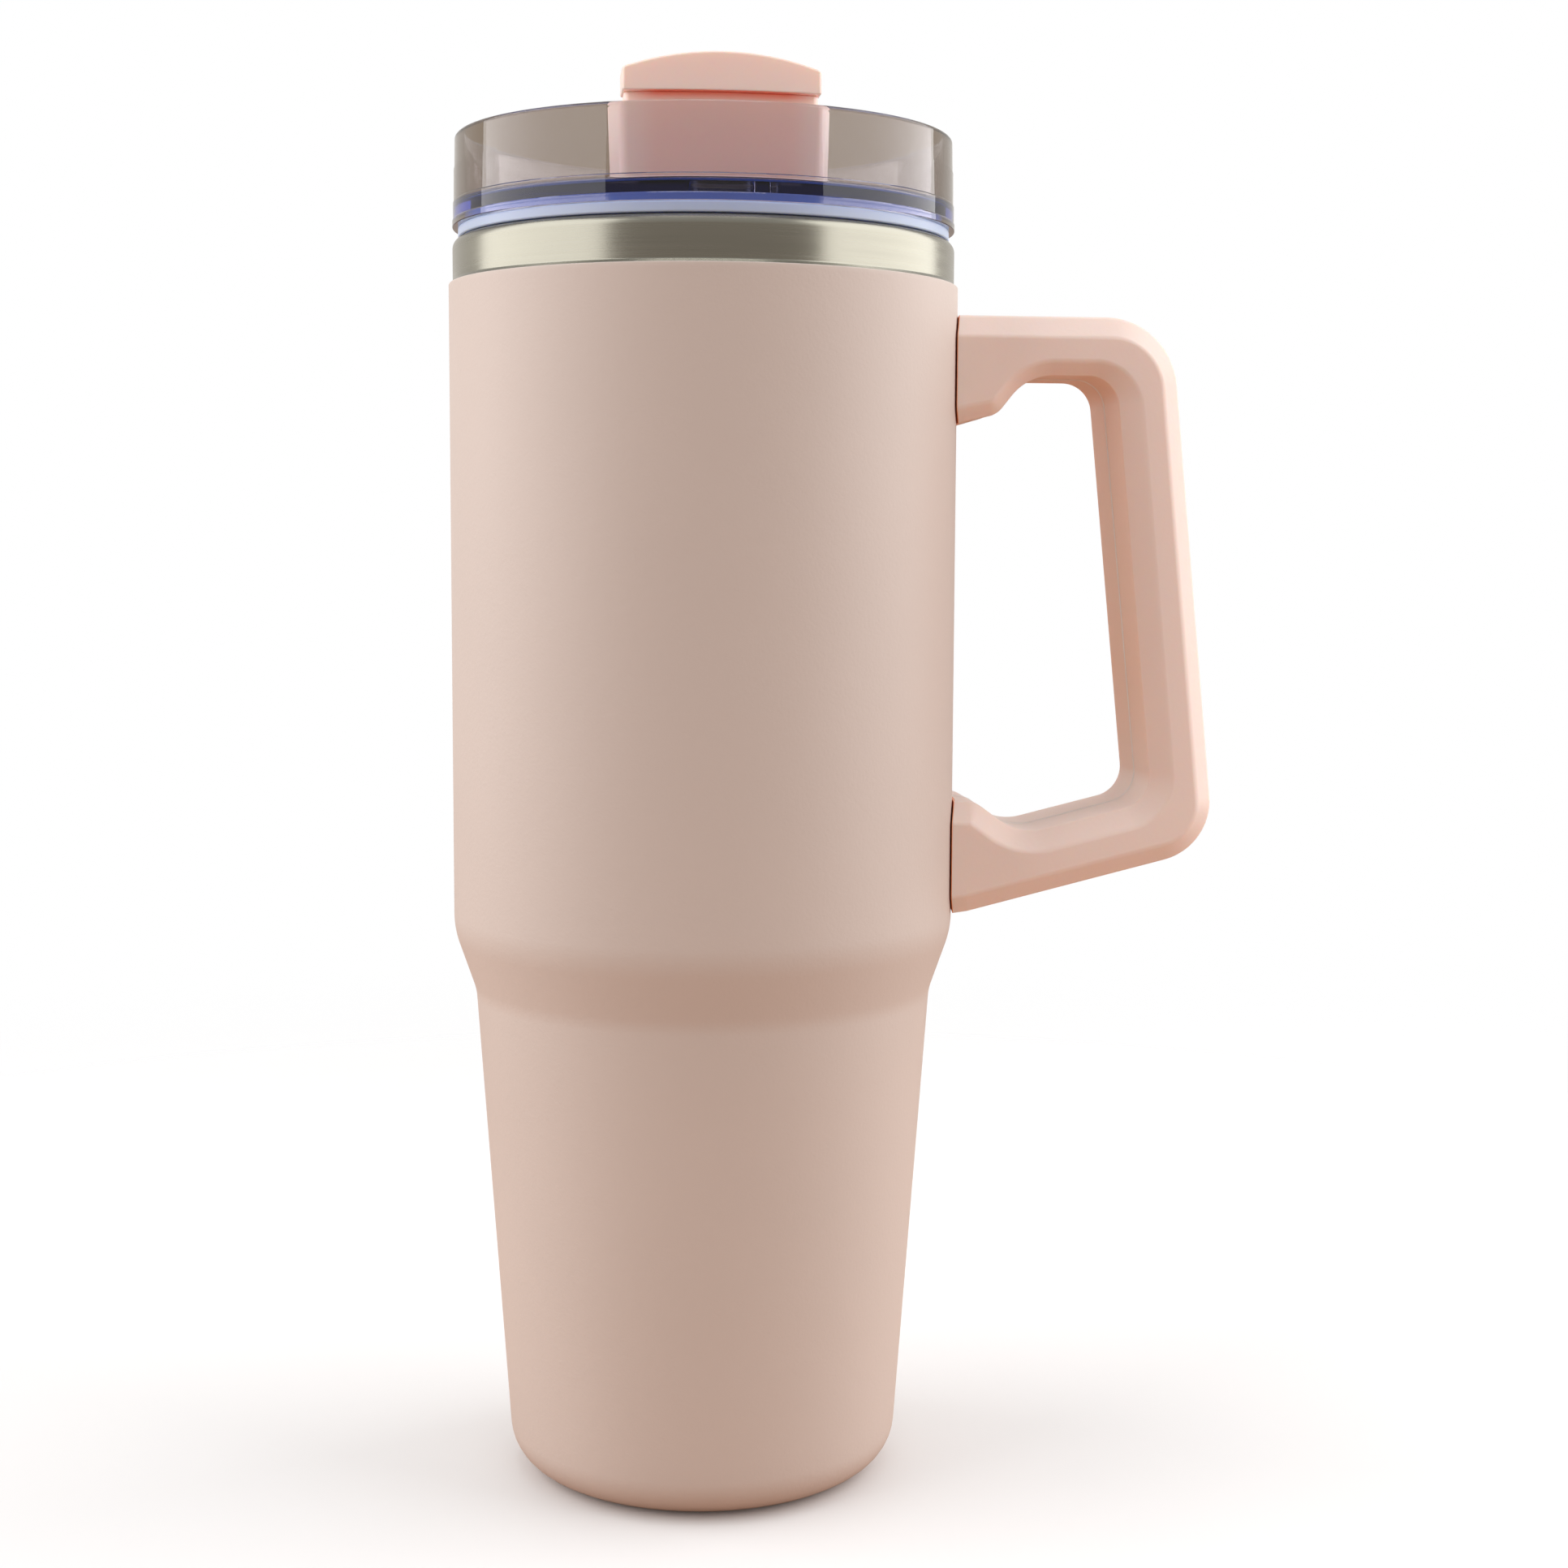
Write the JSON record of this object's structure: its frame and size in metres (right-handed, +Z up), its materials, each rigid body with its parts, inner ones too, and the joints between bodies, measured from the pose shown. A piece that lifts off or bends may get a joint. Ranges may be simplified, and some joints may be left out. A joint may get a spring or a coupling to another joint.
{
  "type": "insulated tumbler with lid",
  "caption": "Tall double-wall vacuum tumbler with a stepped base, an angular side handle and a clear recessed press-in lid with a pink flip cover.",
  "frame": {"origin": "centre of the base, on the surface the tumbler stands on", "axes": "+Z up along the body's axis; +X towards the handle; -Y towards the lid's flip cover"},
  "size_m": [0.1513, 0.1, 0.2747],
  "materials": {
    "powder_coat": "fine orange-peel powder coat, satin",
    "brushed_steel": "brushed round the axis",
    "plain_steel": "as formed",
    "liner_steel": "electropolished",
    "screw_steel": "polished",
    "copper_foil": "bright foil",
    "getter_metal": "sintered",
    "solder_glass": "fused",
    "handle_plastic": "fine moulded texture",
    "clear_plastic": "clear smoky tint, polished",
    "blue_plastic": "deep blue, polished",
    "gasket_silicone": "satin silicone",
    "cover_plastic": "satin gloss",
    "insert_plastic": "satin",
    "stopper_silicone": "satin silicone"
  },
  "bodies": {
    "tumbler": {"outer_shell": "brushed_steel", "powder_coat": "powder_coat", "outer_bottom": "plain_steel", "base_cover": "brushed_steel", "vacuum_seal_bead": "solder_glass", "liner_wall": "liner_steel", "liner_bottom": "liner_steel", "radiation_foil": "copper_foil", "getter": "getter_metal", "upper_bracket": "plain_steel", "lower_bracket": "plain_steel", "handle_front_half": "handle_plastic", "handle_rear_half": "handle_plastic", "handle_screws": "screw_steel", "screw_plugs": "handle_plastic"},
    "lid": {"lid_cup": "clear_plastic", "lid_plug": "blue_plastic", "lid_gasket": "gasket_silicone", "hinge_pin": "screw_steel"},
    "cover": {"flip_cover": "cover_plastic", "cover_insert": "insert_plastic", "drink_stopper": "stopper_silicone"}
  },
  "joints": [
    {"name": "lid_lift", "type": "slide", "parent": "tumbler", "child": "lid", "axis": [0, 0, 1], "range_m": [0, 0.06]},
    {"name": "cover_hinge", "type": "hinge", "parent": "lid", "child": "cover", "pos_m": [0, 0, 0.2585], "axis": [-1, 0, 0], "range_deg": [0, 110]}
  ]
}
